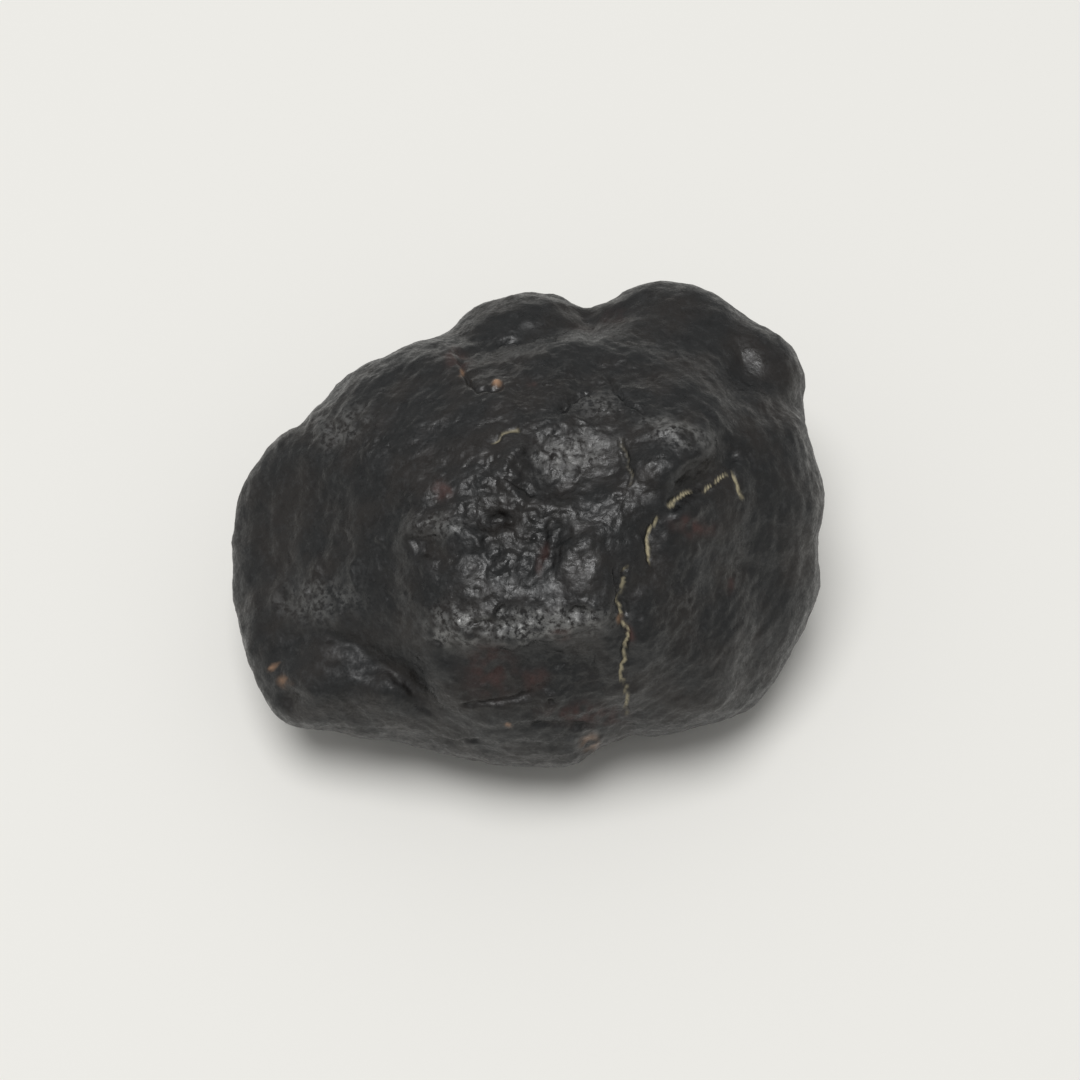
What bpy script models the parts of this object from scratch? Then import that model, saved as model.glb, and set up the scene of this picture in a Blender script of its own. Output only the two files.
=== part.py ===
"""Iron meteorite: one solid stone with a sooty crust, lumpy, ridged and pitted, resting on a small flat spot.

The stone is star-shaped: every direction from its middle meets the surface once. The directions come
from a cube whose faces are cut into squares and blown up to a ball. Each one is carried out to a body of
melted-together lobes, planed by a few broad flats, and then gets the stone's relief.

The relief of the best side is drawn on a board: a plane square to the line from which that side is
seen, with x to the right and y up, measured from the stone's middle. The hidden side has thumbprints.

Lengths are in millimetres and angles in degrees. MM turns the finished mesh into metres.
+X is the long way of the stone, -Y its front and +Z up. The origin is under its middle, on the ground.
"""

import math

import bmesh
import bpy
import numpy as np

NODE = "meteorite"
MM = 0.001

# The board: how far above the ground its line of sight is, and from how far away it is drawn.
SIGHT_ELEVATION = 58.0
SIGHT_DISTANCE = 360.0
_TILT = math.radians(SIGHT_ELEVATION)
RIGHT = np.array([1.0, 0.0, 0.0])
UP = np.array([0.0, math.sin(_TILT), math.cos(_TILT)])
OUT = np.array([0.0, -math.cos(_TILT), math.sin(_TILT)])

# The ball of directions: squares along a cube's edge, and how much they crowd towards the board.
SQUARES = 28
CROWDING = 0.25

# Lobes of the body: place on the board (x, y, depth towards the eye), half lengths along X, Y, Z, and
# a turn about Z.
LOBES = {
    "core": ((2.0, 1.0, 0.0), (42.0, 31.0, 27.0), 14.0),
    "front block": ((2.0, -8.0, 12.0), (29.0, 26.0, 23.0), 0.0),
    "plateau": ((12.0, 7.0, 9.0), (27.0, 25.0, 21.0), 10.0),
    "nose": ((-30.0, -4.5, 1.0), (20.0, 22.0, 20.0), 0.0),
    "low nose": ((-31.0, -12.0, 2.0), (17.0, 18.0, 17.0), 0.0),
    "toe": ((-35.5, -23.0, 7.0), (10.0, 11.0, 10.0), 0.0),
    "lip": ((-13.0, -22.5, 7.0), (28.0, 14.0, 15.0), 0.0),
    "lip end": ((5.5, -30.0, 9.0), (14.5, 10.0, 12.0), 0.0),
    "right front": ((22.5, -16.5, 5.0), (18.0, 18.5, 18.5), 0.0),
    "right low": ((34.0, -11.5, -3.0), (15.0, 16.0, 16.0), 0.0),
    "low corner": ((34.0, -19.5, 0.0), (12.0, 12.0, 12.0), 0.0),
    "right middle": ((34.0, 5.5, 0.0), (16.0, 18.0, 18.0), 0.0),
    "right shoulder": ((38.0, 23.0, -6.0), (8.5, 10.0, 10.0), 0.0),
    "back right": ((22.5, 20.5, -8.0), (17.0, 16.0, 17.0), 0.0),
    "back belly": ((8.0, 14.0, -18.0), (28.0, 20.0, 17.0), 0.0),
    "top right": ((27.5, 29.5, -12.0), (10.5, 11.0, 14.0), 0.0),
    "top saddle": ((15.0, 30.0, -12.0), (6.5, 7.0, 10.0), 0.0),
    "top tip": ((21.0, 33.5, -13.0), (6.0, 6.0, 10.0), 0.0),
    "top left": ((-1.0, 26.0, -12.0), (14.0, 13.0, 14.0), 0.0),
    "left shoulder": ((-14.0, 7.5, -1.0), (27.5, 24.5, 19.5), 25.0),
}
LOBE_BLEND = 1.6

# Flats that plane the body: a point on the board, and the azimuth and elevation that each one faces.
FLATS = {
    "plateau": ((7.0, 4.0, 30.5), -100.0, 74.0),
    "front face": ((0.0, -28.0, 26.5), -90.0, 24.0),
    "left slope": ((-22.5, -6.0, 26.0), -155.0, 47.0),
    "back slope": ((10.0, 20.0, 21.0), 85.0, 75.0),
}
FLAT_BLEND = 1.2

# Outline of the stone on the board, from its left end round by the top.
OUTLINE = (
    (-50.2, -3.3), (-49.7, 2.4), (-48.6, 6.7), (-46.1, 10.6), (-43.2, 14.2), (-38.6, 17.1), (-34.3, 21.8),
    (-29.3, 26.0), (-24.3, 28.9), (-16.0, 32.0), (-13.2, 33.2), (-10.7, 35.7), (-6.5, 38.2), (-1.4, 39.3),
    (3.6, 39.3), (7.1, 37.8), (9.9, 36.9), (12.9, 37.6), (17.9, 40.5), (21.1, 41.4), (27.9, 40.7),
    (31.5, 39.3), (37.9, 35.0), (42.3, 32.1), (45.5, 29.2), (47.1, 26.0), (46.9, 23.1), (46.0, 21.4),
    (48.3, 12.4), (50.0, 8.2), (50.3, 4.6), (49.8, 1.0), (49.1, -2.2), (49.8, -6.2), (49.6, -10.5),
    (46.2, -19.4), (43.7, -23.7), (40.5, -28.7), (37.2, -31.6), (29.4, -34.1), (20.7, -35.9),
    (17.2, -35.5), (12.8, -37.7), (10.5, -39.4), (7.7, -41.0), (2.9, -41.1), (-3.1, -40.8),
    (-9.9, -40.0), (-15.8, -38.4), (-21.8, -36.7), (-33.7, -35.0), (-39.1, -34.3), (-42.2, -32.8),
    (-44.2, -30.5), (-45.2, -28.1), (-48.3, -21.2), (-49.3, -16.2), (-50.0, -10.5),
)
RIM_STEPS = 240
RIM_TIPS = (50.0, 130.0, 21)
RIM_BAND = (0.45, 0.95)

# Dents and bumps: place on the board, half sizes, turn, height (less than 0 for a hollow), steepness.
DENTS = {
    "bowl": ((7.5, 10.4), (9.0, 6.0), 15.0, -2.4, 2.0),
    "dome": ((25.8, 10.7), (5.8, 5.4), 0.0, 2.0, 1.5),
    "knob behind the dome": ((22.4, 18.5), (4.4, 2.7), 0.0, 0.8, 1.0),
    "pit under the arc": ((-17.0, -3.6), (2.6, 2.0), 0.0, -1.2, 1.0),
    "smooth block": ((9.9, -7.0), (5.0, 6.2), 0.0, 1.2, 2.0),
    "middle pit": ((-3.9, 0.9), (2.6, 1.3), 0.0, -1.2, 1.0),
    "crest hollow": ((8.8, -15.3), (3.4, 1.3), 10.0, -0.9, 1.0),
    "right hollow of the face": ((10.5, -24.3), (5.5, 5.0), 0.0, -1.6, 1.0),
    "left hollow of the face": ((-4.8, -26.7), (5.0, 3.2), 0.0, -0.7, 1.0),
    "shelf": ((-31.1, -29.2), (10.0, 3.6), -5.0, 1.2, 1.5),
    "end of the shelf": ((-21.8, -29.8), (4.5, 3.6), -20.0, 1.0, 1.5),
    "pit in the toe": ((-40.8, -29.8), (2.4, 2.2), 0.0, -1.2, 1.0),
    "flake scar": ((-7.0, 26.4), (4.2, 3.6), 0.0, -1.0, 2.0),
    "left plain": ((-37.1, 9.4), (9.0, 12.0), 0.0, -0.8, 1.0),
    "right patch": ((23.8, -14.8), (4.0, 6.0), 20.0, -0.9, 1.0),
    "low right patch": ((25.5, -28.1), (4.0, 2.4), 0.0, -0.9, 1.0),
    "flake by the hollow": ((28.4, 1.7), (2.6, 1.8), 0.0, 0.9, 2.0),
    "saddle hollow": ((13.9, 35.2), (5.0, 2.2), 20.0, -1.2, 1.0),
}

# Ridges and grooves: a bent line on the board, half width, height (less than 0 for a groove).
RIDGES = {
    "crest": (((-16.3, -21.6), (-11.6, -19.6), (-7.8, -18.5), (-3.9, -18.4), (0.3, -19.2), (4.6, -17.7),
               (8.0, -16.2), (12.8, -14.5), (15.3, -11.1)), 2.4, 1.5),
    "arc ridge": (((-20.4, -6.8), (-20.4, -2.9), (-18.0, 0.0), (-13.3, 0.2), (-9.0, -1.7), (-4.8, -3.9)),
                  1.8, 1.2),
    "bowl wall": (((0.3, 16.2), (-2.9, 13.1), (-4.2, 8.7), (-2.2, 5.6), (2.9, 3.7), (9.7, 3.1)), 1.8, 0.9),
    "brow of the dome": (((19.0, 15.0), (23.8, 16.2), (27.5, 15.1), (29.9, 12.4)), 1.6, 1.0),
    "deep hollow": (((23.8, 2.9), (27.5, 6.0), (31.3, 8.7), (34.7, 12.4), (36.4, 15.1)), 2.2, -3.2),
    "right valley": (((36.4, 15.1), (35.4, 21.2), (35.7, 31.5)), 3.0, -1.0),
    "right seam": (((23.8, 2.9), (21.6, -1.7), (20.7, -6.8), (17.7, -11.1), (16.5, -19.6), (16.8, -32.3)),
                   2.4, -1.3),
    "toe groove": (((-43.0, -19.6), (-35.4, -18.9), (-29.9, -20.9), (-25.2, -24.3), (-20.9, -27.0),
                    (-18.0, -29.8), (-15.0, -32.5)), 2.0, -1.6),
    "deep end of the toe groove": (((-22.6, -25.7), (-19.7, -28.1), (-17.7, -30.4)), 2.0, -1.4),
    "left dip": (((-22.4, -2.6), (-22.1, -12.8), (-20.1, -21.2), (-17.0, -28.1)), 2.6, -1.0),
    "top groove": (((-10.2, 29.4), (-1.4, 30.6), (5.4, 31.8), (10.5, 34.5)), 1.8, -1.4),
    "middle step": (((8.0, 0.5), (5.4, -1.9), (4.1, -6.0), (3.4, -11.1)), 1.6, -0.9),
    "lip groove": (((-15.0, -32.5), (-9.9, -34.5), (-4.8, -36.2)), 1.5, -1.2),
}

# Ledges: a bent line along the edge, the drop on its right, how sharp the edge is, how far the drop goes.
LEDGES = {
    "front drop": (((-16.7, -22.6), (-11.6, -20.7), (-7.8, -19.9), (-3.9, -19.7), (0.3, -20.4),
                    (4.6, -19.0), (7.1, -17.9), (13.1, -16.2)), 1.6, 1.0, 6.0),
}
RIDGE_FADE = 2.5
LEDGE_FADE = 4.0

# What is drawn on the board is shaken by two sizes of smooth random waves: size and reach.
SHAKES = ((9.0, 1.3), (4.0, 0.7))

# Relief of the best side ends behind these depths. Thumbprints begin where directions turn this far away.
FRONT_DEPTHS = (-6.0, 4.0)
HIDDEN_TURN = (-0.40, -0.65)

# Thumbprints of the hidden side: how many over the whole ball, scatter, sizes (radians) and depths.
THUMBPRINTS = 46
THUMBPRINT_SCATTER = 0.10
THUMBPRINT_SIZES = (0.13, 0.24)
THUMBPRINT_DEPTHS = (0.7, 1.7)
THUMBPRINT_RIM = 0.35
THUMBPRINT_RIM_AT = 1.25
THUMBPRINT_RIM_WIDTH = 0.35
SEED = 7

# Large uneven numbers that make the sine of a whole-numbered place look random.
SCATTER = (127.1, 311.7, 74.7, 43758.5453)
SEED_SHIFT = (37.3, 11.9)

# The flat spot under the stone, and the shift that puts the origin on it under the stone's middle.
FOOT_LEVEL = -25.0
MIDDLE = (0.0, 1.0)

CRUST_COLOUR = (0.028, 0.029, 0.031, 1.0)
CRUST_ROUGHNESS = 0.42
CRUST_METALLIC = 0.25
SHARP_ANGLE = 50.0


def smooth(t):
    """0 below 0, 1 above 1, and an S-curve between."""
    t = np.clip(t, 0.0, 1.0)
    return t * t * (3.0 - 2.0 * t)


def on_space(x, y, depth):
    """Points in space for places on the board; what is nearer to the eye is drawn larger."""
    shrink = 1.0 - np.asarray(depth) / SIGHT_DISTANCE
    sideways = np.multiply.outer(x * shrink, RIGHT) + np.multiply.outer(y * shrink, UP)
    return sideways + np.multiply.outer(depth, OUT)


def on_board(points):
    """Places on the board, and depths, of points in space."""
    depth = points @ OUT
    shrink = 1.0 - depth / SIGHT_DISTANCE
    return points @ RIGHT / shrink, points @ UP / shrink, depth


def facing(azimuth, elevation):
    """Unit vector that points at an azimuth and an elevation."""
    a, e = math.radians(azimuth), math.radians(elevation)
    return np.array([math.cos(e) * math.cos(a), math.cos(e) * math.sin(a), math.sin(e)])


def lobes_distance(points):
    """Rough distance to the lobes melted together: minus the log of the sum of exp(-distance)."""
    total = np.zeros(len(points))
    for place, half_lengths, turn in LOBES.values():
        q = points - on_space(*place)
        c, s = math.cos(math.radians(turn)), math.sin(math.radians(turn))
        q = np.stack([q[:, 0] * c + q[:, 1] * s, q[:, 1] * c - q[:, 0] * s, q[:, 2]], axis=1)
        half = np.array(half_lengths)
        stretch = np.linalg.norm(q / half, axis=1)
        slope = np.maximum(np.linalg.norm(q / half ** 2, axis=1), 1e-9)
        total += np.exp(-np.clip(stretch * (stretch - 1.0) / slope, -60.0, 200.0) / LOBE_BLEND)
    return -LOBE_BLEND * np.log(np.maximum(total, 1e-300))


def body_distance(points):
    """Distance to the lobes, planed by each flat with a rounded edge."""
    distance = lobes_distance(points)
    for place, azimuth, elevation in FLATS.values():
        plane = (points - on_space(*place)) @ facing(azimuth, elevation)
        share = np.clip(0.5 + 0.25 * (distance - plane) / FLAT_BLEND, 0.0, 1.0)
        distance = distance * share + plane * (1.0 - share) + 2.0 * FLAT_BLEND * share * (1.0 - share)
    return distance


def body_reach(directions, start=85.0, steps=70, stride=0.75):
    """How far the body reaches in each direction, walking inwards by most of the distance left."""
    reach = np.full(len(directions), start)
    for _ in range(steps):
        reach -= stride * body_distance(directions * reach[:, None])
    return reach


def rim_scale():
    """Turns round the board, the body's own reach there, and the outline's share of that reach."""
    turns = np.linspace(0.0, 2.0 * math.pi, RIM_STEPS, endpoint=False)
    tips = np.radians(np.linspace(*RIM_TIPS))
    t, p = np.meshgrid(turns, tips, indexing="ij")
    directions = (np.multiply.outer(np.sin(p) * np.cos(t), RIGHT)
                  + np.multiply.outer(np.sin(p) * np.sin(t), UP)
                  + np.multiply.outer(np.cos(p), OUT)).reshape(-1, 3)
    x, y, _ = on_board(directions * body_reach(directions)[:, None])
    reach = np.hypot(x, y).reshape(t.shape).max(axis=1)
    edge = np.array(OUTLINE)
    wanted = np.interp(turns, np.arctan2(edge[:, 1], edge[:, 0]) % (2.0 * math.pi),
                       np.hypot(edge[:, 0], edge[:, 1]), period=2.0 * math.pi)
    share = wanted / reach
    share = 0.25 * np.roll(share, 1) + 0.5 * share + 0.25 * np.roll(share, -1)
    return turns, reach, share


def fit_outline(points):
    """Places and depths of the body's points, stretched near its rim to meet the outline."""
    turns, reach, share = rim_scale()
    x, y, depth = on_board(points)
    turn = np.arctan2(y, x) % (2.0 * math.pi)
    near = np.hypot(x, y) / np.interp(turn, turns, reach, period=2.0 * math.pi)
    weight = smooth((near - RIM_BAND[0]) / (RIM_BAND[1] - RIM_BAND[0]))
    stretch = 1.0 + weight * (np.interp(turn, turns, share, period=2.0 * math.pi) - 1.0)
    return x * stretch, y * stretch, depth


def line_field(x, y, line, fade):
    """Distance to a bent line, its side (more than 0 on the right) and a fade towards its two ends."""
    best = np.full(x.shape, np.inf)
    side = np.zeros(x.shape)
    along = np.zeros(x.shape)
    run = 0.0
    for (ax, ay), (bx, by) in zip(line[:-1], line[1:]):
        ex, ey = bx - ax, by - ay
        length = math.hypot(ex, ey)
        t = np.clip(((x - ax) * ex + (y - ay) * ey) / length ** 2, 0.0, 1.0)
        dx, dy = x - ax - t * ex, y - ay - t * ey
        distance = np.hypot(dx, dy)
        nearer = distance < best
        side = np.where(nearer, dx * ey - dy * ex, side)
        along = np.where(nearer, run + t * length, along)
        best = np.where(nearer, distance, best)
        run += length
    return best, side, smooth(along / fade) * smooth((run - along) / fade)


def dent(x, y, place, half_sizes, turn, height, steepness):
    """An oval bump: height times exp(-q ** steepness), q the squared distance in half sizes."""
    c, s = math.cos(math.radians(turn)), math.sin(math.radians(turn))
    dx, dy = x - place[0], y - place[1]
    q = ((dx * c + dy * s) / half_sizes[0]) ** 2 + ((dy * c - dx * s) / half_sizes[1]) ** 2
    return height * np.exp(-q ** steepness)


def ridge(x, y, line, half_width, height):
    """A rounded ridge along a bent line, faded at both ends."""
    distance, _, fade = line_field(x, y, line, RIDGE_FADE * half_width)
    return height * fade * np.exp(-(distance / half_width) ** 2)


def ledge(x, y, line, drop, sharpness, reach):
    """A step down on the right of a bent line, which rises again over its reach."""
    distance, side, fade = line_field(x, y, line, LEDGE_FADE)
    below = np.where(side > 0.0, distance, 0.0)
    return -drop * fade * (1.0 - np.exp(-below / sharpness)) * np.exp(-(below / reach) ** 2)


def scatter(i, j, seed):
    """A number from 0 to 1 for each whole-numbered place, which looks random."""
    v = np.sin(i * SCATTER[0] + j * SCATTER[1] + seed * SCATTER[2]) * SCATTER[3]
    return v - np.floor(v)


def waves(x, y, size, seed):
    """Smooth random waves from -1 to 1: scattered numbers on squares of a size, blended between corners."""
    gx, gy = x / size + SEED_SHIFT[0] * seed, y / size + SEED_SHIFT[1] * seed
    i, j = np.floor(gx), np.floor(gy)
    u, v = smooth(gx - i), smooth(gy - j)
    low = scatter(i, j, seed) * (1.0 - u) + scatter(i + 1.0, j, seed) * u
    high = scatter(i, j + 1.0, seed) * (1.0 - u) + scatter(i + 1.0, j + 1.0, seed) * u
    return 2.0 * (low * (1.0 - v) + high * v) - 1.0


def relief(x, y):
    """Height of everything drawn on the board, over shaken places."""
    shaken_x = x + sum(reach * waves(x, y, size, 1 + k) for k, (size, reach) in enumerate(SHAKES))
    shaken_y = y + sum(reach * waves(x, y, size, 5 + k) for k, (size, reach) in enumerate(SHAKES))
    height = np.zeros(x.shape)
    for values in DENTS.values():
        height += dent(shaken_x, shaken_y, *values)
    for values in RIDGES.values():
        height += ridge(shaken_x, shaken_y, *values)
    for values in LEDGES.values():
        height += ledge(shaken_x, shaken_y, *values)
    return height


def even_ball(count):
    """Evenly spread unit vectors, along a spiral from pole to pole by the golden angle."""
    k = np.arange(count) + 0.5
    z = 1.0 - 2.0 * k / count
    turn = math.pi * (1.0 + math.sqrt(5.0)) * k
    ring = np.sqrt(1.0 - z * z)
    return np.stack([ring * np.cos(turn), ring * np.sin(turn), z], axis=1)


def thumbprints(directions):
    """Shallow hollows with a faint rim, scattered over the ball."""
    rng = np.random.default_rng(SEED)
    centres = even_ball(THUMBPRINTS) + rng.normal(0.0, THUMBPRINT_SCATTER, (THUMBPRINTS, 3))
    centres /= np.linalg.norm(centres, axis=1, keepdims=True)
    sizes = rng.uniform(*THUMBPRINT_SIZES, THUMBPRINTS)
    depths = rng.uniform(*THUMBPRINT_DEPTHS, THUMBPRINTS)
    height = np.zeros(len(directions))
    for centre, size, deep in zip(centres, sizes, depths):
        away = np.sqrt(np.maximum(2.0 - 2.0 * directions @ centre, 0.0)) / size
        height -= deep * np.exp(-away ** 3)
        height += THUMBPRINT_RIM * deep * np.exp(-((away - THUMBPRINT_RIM_AT) / THUMBPRINT_RIM_WIDTH) ** 2)
    return height


def stone_points(directions):
    """The stone's surface in millimetres, from its middle, one point for each direction."""
    x, y, depth = fit_outline(directions * body_reach(directions)[:, None])
    seen = smooth((depth - FRONT_DEPTHS[0]) / (FRONT_DEPTHS[1] - FRONT_DEPTHS[0]))
    points = on_space(x, y, depth + seen * relief(x, y))
    hidden = smooth((HIDDEN_TURN[0] - directions @ OUT) / (HIDDEN_TURN[0] - HIDDEN_TURN[1]))
    return points + directions * (hidden * thumbprints(directions))[:, None]


def stand(points):
    """Presses what is below the foot level flat, along its direction, and moves the origin to the ground."""
    low = points[:, 2] < FOOT_LEVEL
    points[low] *= (FOOT_LEVEL / points[low, 2])[:, None]
    return points - np.array([MIDDLE[0], MIDDLE[1], FOOT_LEVEL])


def build_stone():
    """The stone as one closed mesh: a cube cut into squares, each corner moved to the surface."""
    bm = bmesh.new()
    bmesh.ops.create_cube(bm, size=2.0)
    bmesh.ops.subdivide_edges(bm, edges=bm.edges[:], cuts=SQUARES - 1, use_grid_fill=True)
    corners = np.array([v.co[:] for v in bm.verts])
    directions = np.tan(corners * math.pi / 4.0)
    directions /= np.linalg.norm(directions, axis=1, keepdims=True)
    directions += CROWDING * OUT
    directions /= np.linalg.norm(directions, axis=1, keepdims=True)
    for vertex, point in zip(bm.verts, stand(stone_points(directions)) * MM):
        vertex.co = point
    bmesh.ops.triangulate(bm, faces=bm.faces[:])
    bmesh.ops.recalc_face_normals(bm, faces=bm.faces[:])
    mesh = bpy.data.meshes.new(NODE)
    bm.to_mesh(mesh)
    bm.free()
    mesh.shade_smooth()
    mesh.set_sharp_from_angle(angle=math.radians(SHARP_ANGLE))
    return mesh


def crust_material():
    """Near-black crust with a dull iron shine."""
    material = bpy.data.materials.new("iron_crust")
    material.use_nodes = True
    shader = material.node_tree.nodes["Principled BSDF"]
    shader.inputs["Base Color"].default_value = CRUST_COLOUR
    shader.inputs["Roughness"].default_value = CRUST_ROUGHNESS
    shader.inputs["Metallic"].default_value = CRUST_METALLIC
    return material


def main():
    for thing in list(bpy.data.objects):
        bpy.data.objects.remove(thing, do_unlink=True)
    stone = bpy.data.objects.new(NODE, build_stone())
    stone.data.materials.append(crust_material())
    bpy.context.scene.collection.objects.link(stone)
    size = [round(side / MM, 1) for side in stone.dimensions]
    print(NODE, "triangles", len(stone.data.polygons), "size in mm", size)


main()
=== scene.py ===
# %% [markdown]
# # An iron meteorite, from a plain solid to a finished stone
# A meteorite of iron is one heavy lump. The air that burnt it left a thin sooty skin with thumbprints,
# ledges and pits. Rust and pale earth have since settled in its cracks.
#
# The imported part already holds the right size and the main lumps, in metres, with +Z up. It is loaded
# first, and everything below is built round it in the same frame.

# %% Load the frame
import math

import bpy
import numpy as np
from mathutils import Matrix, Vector


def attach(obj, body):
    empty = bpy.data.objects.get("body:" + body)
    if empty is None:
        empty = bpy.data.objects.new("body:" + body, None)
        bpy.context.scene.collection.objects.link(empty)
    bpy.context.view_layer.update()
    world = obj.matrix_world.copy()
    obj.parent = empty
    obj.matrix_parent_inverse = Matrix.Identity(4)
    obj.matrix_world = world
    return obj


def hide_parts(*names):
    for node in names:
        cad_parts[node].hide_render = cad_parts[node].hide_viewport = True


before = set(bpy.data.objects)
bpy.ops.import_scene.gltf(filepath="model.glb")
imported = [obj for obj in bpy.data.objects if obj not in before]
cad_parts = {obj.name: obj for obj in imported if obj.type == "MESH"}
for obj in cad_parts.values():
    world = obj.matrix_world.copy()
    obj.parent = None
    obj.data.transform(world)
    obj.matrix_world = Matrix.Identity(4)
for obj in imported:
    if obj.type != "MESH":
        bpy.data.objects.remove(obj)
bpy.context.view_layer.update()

MM = 0.001

# %% [markdown]
# ## The board and the camera
# The best side of the stone is seen from 58 degrees above the ground, from a hand's reach away. Its forms
# are easiest to place on a board: a plane square to that line of sight, through the stone's middle. A place
# on it is x to the right, y up, and depth towards the eye, all in millimetres.
#
# The camera stands on the same line, so what is drawn on the board is where the camera sees it.

# %% The board's axes
SIGHT_ELEVATION = 58.0
SIGHT_DISTANCE = 360.0
TILT = math.radians(SIGHT_ELEVATION)
RIGHT = np.array([1.0, 0.0, 0.0])
UP = np.array([0.0, math.sin(TILT), math.cos(TILT)])
OUT = np.array([0.0, -math.cos(TILT), math.sin(TILT)])

# The board's middle is zero. The part's own origin is a point on the ground, nearly under it.
FOOT_LEVEL = -25.0
MIDDLE = (0.0, 1.0)
GROUND_SHIFT = np.array([MIDDLE[0], MIDDLE[1], FOOT_LEVEL])
print("the way towards the eye", OUT.round(3))

# %% The camera
# The picture's width and centre on the board.
PICTURE_WIDTH = 183.6
PICTURE_CENTRE = (2.04, -2.55)
SENSOR_WIDTH = 36.0
CLIP_START = 0.01
CLIP_END = 20.0

target = PICTURE_CENTRE[0] * RIGHT + PICTURE_CENTRE[1] * UP - GROUND_SHIFT
camera = bpy.data.objects.new("camera", bpy.data.cameras.new("camera"))
camera.data.sensor_width = SENSOR_WIDTH
camera.data.lens = SENSOR_WIDTH * SIGHT_DISTANCE / PICTURE_WIDTH
camera.data.clip_start = CLIP_START
camera.data.clip_end = CLIP_END
camera.location = (target + OUT * SIGHT_DISTANCE) * MM
camera.rotation_mode = "QUATERNION"
camera.rotation_quaternion = Vector(-OUT).to_track_quat("-Z", "Y")
bpy.context.scene.collection.objects.link(camera)
bpy.context.scene.camera = camera
print("camera lens", round(camera.data.lens, 1), "mm")

# %% [markdown]
# ## A ball of directions
# The stone is star-shaped: a ray from its middle meets the skin once. So the mesh is a ball whose points are
# slid along their rays. A ball of longitude and latitude has pinched poles. A cube blown up to a ball has
# none, its squares stay nearly square, and each of its six faces is a plain function of two parameters.
#
# The rays are leant towards the best side, so that the squares there are smaller and hold finer relief.

# %% Six faces, joined along their edges
SQUARES = 128
CROWDING = 0.38
# Each face's normal, its right and its up.
FACES = (
    ((1, 0, 0), (0, 1, 0), (0, 0, 1)),
    ((-1, 0, 0), (0, -1, 0), (0, 0, 1)),
    ((0, 1, 0), (-1, 0, 0), (0, 0, 1)),
    ((0, -1, 0), (1, 0, 0), (0, 0, 1)),
    ((0, 0, 1), (1, 0, 0), (0, 1, 0)),
    ((0, 0, -1), (-1, 0, 0), (0, 1, 0)),
)


def unit(vectors):
    """Each vector over its own length."""
    return vectors / np.linalg.norm(vectors, axis=-1, keepdims=True)


def cube_ball(squares):
    """Rays and quads of a blown-up cube.

    A face's point at (u, v), each from -1 to 1, is its normal plus u times its right plus v times its up.
    Points that two faces share are merged by their whole-numbered place on the cube. The tangent of a
    coordinate's eighth of a turn evens out the squares, and dividing by the length makes a ball.
    """
    steps = np.linspace(-1.0, 1.0, squares + 1)
    u, v = np.meshgrid(steps, steps, indexing="ij")
    corners = np.stack([normal + u[..., None] * right + v[..., None] * up
                        for normal, right, up in np.array(FACES)])
    numbering = np.array([(squares + 1) ** 2, squares + 1, 1])
    places = np.rint((corners + 1.0) * squares / 2.0).astype(np.int64) @ numbering
    _, first, number = np.unique(places.ravel(), return_index=True, return_inverse=True)
    number = number.reshape(places.shape)
    quads = np.stack([number[:, :-1, :-1], number[:, 1:, :-1],
                      number[:, 1:, 1:], number[:, :-1, 1:]], axis=-1)
    rays = unit(np.tan(corners.reshape(-1, 3)[first] * math.pi / 4.0))
    return unit(rays + CROWDING * OUT), quads.reshape(-1, 4)


rays, quads = cube_ball(SQUARES)
print("rays", len(rays), "squares", len(quads))

# %% [markdown]
# ## The body
# The stone's big lumps are oval lobes melted into each other, like putty. Metaballs would melt too, but a
# formula for the distance to the body can also be planed. The rough distance to each lobe is known, and
# minus the logarithm of the summed exponentials blends them without a seam. Broad flats then plane the
# lobes, because the real stone has a bright plateau that breaks off in a steep dark front.
#
# The numbers are the ones that the solid is built from, so both have the same body.

# %% Lobes
# Place on the board (x, y, depth), half lengths along X, Y and Z, and a turn about Z.
LOBES = {
    "core": ((2.0, 1.0, 0.0), (42.0, 31.0, 27.0), 14.0),
    "front block": ((2.0, -8.0, 12.0), (29.0, 26.0, 23.0), 0.0),
    "plateau": ((12.0, 7.0, 9.0), (27.0, 25.0, 21.0), 10.0),
    "nose": ((-30.0, -4.5, 1.0), (20.0, 22.0, 20.0), 0.0),
    "low nose": ((-31.0, -12.0, 2.0), (17.0, 18.0, 17.0), 0.0),
    "toe": ((-35.5, -23.0, 7.0), (10.0, 11.0, 10.0), 0.0),
    "lip": ((-13.0, -22.5, 7.0), (28.0, 14.0, 15.0), 0.0),
    "lip end": ((5.5, -30.0, 9.0), (14.5, 10.0, 12.0), 0.0),
    "right front": ((22.5, -16.5, 5.0), (18.0, 18.5, 18.5), 0.0),
    "right low": ((34.0, -11.5, -3.0), (15.0, 16.0, 16.0), 0.0),
    "low corner": ((34.0, -19.5, 0.0), (12.0, 12.0, 12.0), 0.0),
    "right middle": ((34.0, 5.5, 0.0), (16.0, 18.0, 18.0), 0.0),
    "right shoulder": ((38.0, 23.0, -6.0), (8.5, 10.0, 10.0), 0.0),
    "back right": ((22.5, 20.5, -8.0), (17.0, 16.0, 17.0), 0.0),
    "back belly": ((8.0, 14.0, -18.0), (28.0, 20.0, 17.0), 0.0),
    "top right": ((27.5, 29.5, -12.0), (10.5, 11.0, 14.0), 0.0),
    "top saddle": ((15.0, 30.0, -12.0), (6.5, 7.0, 10.0), 0.0),
    "top tip": ((21.0, 33.5, -13.0), (6.0, 6.0, 10.0), 0.0),
    "top left": ((-1.0, 26.0, -12.0), (14.0, 13.0, 14.0), 0.0),
    "left shoulder": ((-14.0, 7.5, -1.0), (27.5, 24.5, 19.5), 25.0),
}
LOBE_BLEND = 1.6
print("lobes", len(LOBES))

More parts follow.
